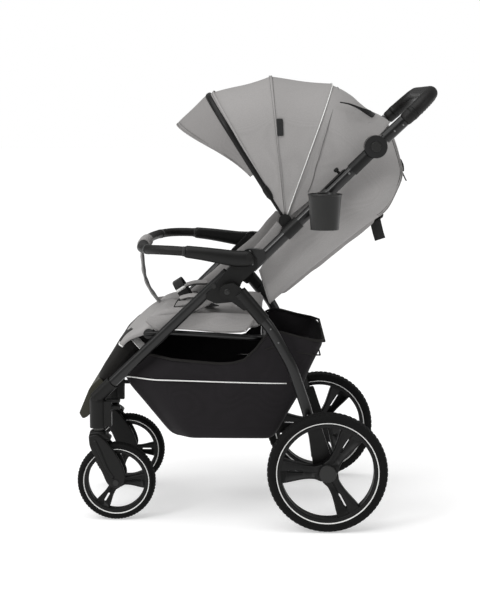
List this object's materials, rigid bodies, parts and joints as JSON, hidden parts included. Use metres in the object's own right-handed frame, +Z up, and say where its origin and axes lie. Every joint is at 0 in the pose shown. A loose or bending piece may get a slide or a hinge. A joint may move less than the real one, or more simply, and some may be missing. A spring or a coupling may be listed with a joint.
{
  "type": "baby stroller",
  "caption": "Folding four-wheel baby stroller: tube frame with hinge brackets, swivel casters, padded seat, bumper bar, canopy, basket and cup holder.",
  "frame": {"origin": "bottom centre of the whole object's box, on the ground plane", "axes": "+Z up, the stroller faces -Y, +X is the child's left, the side with the cup holder"},
  "size_m": [0.6419, 0.8433, 1.0575],
  "materials": {
    "frame_tube": "satin black powder coat on aluminium tube",
    "black_plastic": "fine grained black moulded plastic",
    "satin_button": "satin black moulded plastic",
    "olive_plastic": "smooth dark grey-brown moulded plastic",
    "steel": "zinc plated steel",
    "spring_rubber": "black elastomer",
    "leatherette": "black grained leatherette",
    "grey_fabric": "mid grey melange woven polyester",
    "inner_fabric": "black woven polyester over foam",
    "webbing": "woven webbing",
    "basket_fabric": "near-black coated polyester",
    "tyre": "matt black foamed rubber",
    "rim_plastic": "black moulded plastic"
  },
  "bodies": {
    "front_frame": {"front_leg_left": "frame_tube", "front_leg_right": "frame_tube", "hinge_bracket_left": "black_plastic", "hinge_bracket_right": "black_plastic", "seat_frame": "frame_tube", "footrest": "olive_plastic", "caster_housings": "black_plastic", "frame_fasteners": "steel", "seat_cushion": "grey_fabric", "harness": "webbing", "harness_buckle": "black_plastic", "fold_strap": "webbing", "basket": "basket_fabric"},
    "rear_frame": {"rear_leg_left": "frame_tube", "rear_leg_right": "frame_tube", "leg_knuckles": "black_plastic", "wheel_mounts": "black_plastic", "rear_axle": "frame_tube"},
    "brake": {"brake_pedal": "black_plastic"},
    "upper_frame": {"upper_tube_left": "frame_tube", "upper_tube_right": "frame_tube", "handle_sockets": "black_plastic", "cup_holder": "black_plastic", "canopy_clips": "black_plastic"},
    "handle": {"handle_bar": "frame_tube", "handle_grip": "leatherette"},
    "left_adjust_button": {"adjust_button_left": "satin_button"},
    "right_adjust_button": {"adjust_button_right": "satin_button"},
    "bumper": {"bumper_bar": "leatherette", "bumper_sleeve": "grey_fabric"},
    "left_bumper_button": {"bumper_button_left": "satin_button"},
    "right_bumper_button": {"bumper_button_right": "satin_button"},
    "canopy_rear": {"canopy_rear_bow": "black_plastic", "canopy_rear_shell": "grey_fabric"},
    "canopy_front": {"canopy_front_bow": "black_plastic", "canopy_front_shell": "grey_fabric", "canopy_visor": "grey_fabric"},
    "backrest": {"back_board": "inner_fabric", "back_shell": "grey_fabric"},
    "leg_rest": {"leg_rest": "inner_fabric"},
    "left_caster": {"caster_fork_left": "black_plastic", "fork_spring_left": "spring_rubber", "front_axle_left": "steel"},
    "right_caster": {"caster_fork_right": "black_plastic", "fork_spring_right": "spring_rubber", "front_axle_right": "steel"},
    "left_swivel_lock": {"swivel_lock_left": "satin_button"},
    "right_swivel_lock": {"swivel_lock_right": "satin_button"},
    "left_front_wheel": {"tyre_front_left": "tyre", "rim_front_left": "rim_plastic"},
    "right_front_wheel": {"tyre_front_right": "tyre", "rim_front_right": "rim_plastic"},
    "left_rear_wheel": {"tyre_rear_left": "tyre", "rim_rear_left": "rim_plastic", "hub_cap_left": "satin_button"},
    "right_rear_wheel": {"tyre_rear_right": "tyre", "rim_rear_right": "rim_plastic", "hub_cap_right": "satin_button"}
  },
  "joints": [
    {"name": "frame_fold", "type": "hinge", "parent": "front_frame", "child": "upper_frame", "pos_m": [-0.01955, -0.01436, 0.6403], "axis": [1, 0, 0], "range_deg": [0, 135]},
    {"name": "rear_leg_fold", "type": "hinge", "parent": "front_frame", "child": "rear_frame", "pos_m": [-0.01955, -0.06416, 0.5595], "axis": [1, 0, 0], "range_deg": [-50, 0]},
    {"name": "bumper_swing", "type": "hinge", "parent": "front_frame", "child": "bumper", "pos_m": [-0.01955, -0.01436, 0.6403], "axis": [1, 0, 0], "range_deg": [0, 27], "deforming": ["harness"]},
    {"name": "canopy_tuck", "type": "hinge", "parent": "upper_frame", "child": "canopy_rear", "pos_m": [-0.01955, 0.06814, 0.7175], "axis": [1, 0, 0], "range_deg": [-48, 0]},
    {"name": "canopy_close", "type": "hinge", "parent": "canopy_rear", "child": "canopy_front", "pos_m": [-0.01955, 0.06814, 0.7175], "axis": [1, 0, 0], "range_deg": [-46, 0]},
    {"name": "handle_tilt", "type": "hinge", "parent": "upper_frame", "child": "handle", "pos_m": [-0.01955, 0.27274, 0.8876], "axis": [-1, 0, 0], "range_deg": [-60, 60]},
    {"name": "backrest_recline", "type": "hinge", "parent": "upper_frame", "child": "backrest", "pos_m": [-0.01955, 0.04114, 0.538], "axis": [1, 0, 0], "range_deg": [-22, 12]},
    {"name": "leg_rest_tilt", "type": "hinge", "parent": "front_frame", "child": "leg_rest", "pos_m": [-0.01955, -0.25086, 0.449], "axis": [1, 0, 0], "range_deg": [-48, 0]},
    {"name": "brake_press", "type": "hinge", "parent": "rear_frame", "child": "brake", "pos_m": [-0.01955, 0.18914, 0.172], "axis": [1, 0, 0], "range_deg": [-20, 0]},
    {"name": "left_caster_swivel", "type": "hinge", "parent": "front_frame", "child": "left_caster", "pos_m": [0.15295, -0.37386, 0.2], "axis": [0, 0, 1], "continuous": true},
    {"name": "right_caster_swivel", "type": "hinge", "parent": "front_frame", "child": "right_caster", "pos_m": [-0.19205, -0.37386, 0.2], "axis": [0, 0, 1], "continuous": true},
    {"name": "left_swivel_lock_flip", "type": "hinge", "parent": "front_frame", "child": "left_swivel_lock", "pos_m": [-0.01955, -0.34786, 0.27], "axis": [1, 0, 0], "range_deg": [-14, 0]},
    {"name": "right_swivel_lock_flip", "type": "hinge", "parent": "front_frame", "child": "right_swivel_lock", "pos_m": [-0.01955, -0.34786, 0.27], "axis": [1, 0, 0], "range_deg": [-14, 0]},
    {"name": "left_front_wheel_spin", "type": "hinge", "parent": "left_caster", "child": "left_front_wheel", "pos_m": [-0.01955, -0.33056, 0.0938], "axis": [1, 0, 0], "continuous": true},
    {"name": "right_front_wheel_spin", "type": "hinge", "parent": "right_caster", "child": "right_front_wheel", "pos_m": [-0.01955, -0.33056, 0.0938], "axis": [1, 0, 0], "continuous": true},
    {"name": "left_rear_wheel_spin", "type": "hinge", "parent": "rear_frame", "child": "left_rear_wheel", "pos_m": [-0.01955, 0.16714, 0.14], "axis": [1, 0, 0], "continuous": true},
    {"name": "right_rear_wheel_spin", "type": "hinge", "parent": "rear_frame", "child": "right_rear_wheel", "pos_m": [-0.01955, 0.16714, 0.14], "axis": [1, 0, 0], "continuous": true},
    {"name": "left_adjust_press", "type": "slide", "parent": "handle", "child": "left_adjust_button", "axis": [-1, 0, 0], "range_m": [0, 0.002], "stiffness_N_per_m": 400},
    {"name": "right_adjust_press", "type": "slide", "parent": "handle", "child": "right_adjust_button", "axis": [1, 0, 0], "range_m": [0, 0.002], "stiffness_N_per_m": 400},
    {"name": "left_bumper_press", "type": "slide", "parent": "bumper", "child": "left_bumper_button", "axis": [-1, 0, 0], "range_m": [0, 0.0015], "stiffness_N_per_m": 400},
    {"name": "right_bumper_press", "type": "slide", "parent": "bumper", "child": "right_bumper_button", "axis": [1, 0, 0], "range_m": [0, 0.0015], "stiffness_N_per_m": 400}
  ],
  "couplings": [
    {"joint": "rear_leg_fold", "follows": "frame_fold", "ratio": -0.37037},
    {"joint": "bumper_swing", "follows": "frame_fold", "ratio": 0.2},
    {"joint": "canopy_tuck", "follows": "frame_fold", "ratio": -0.35556}
  ]
}
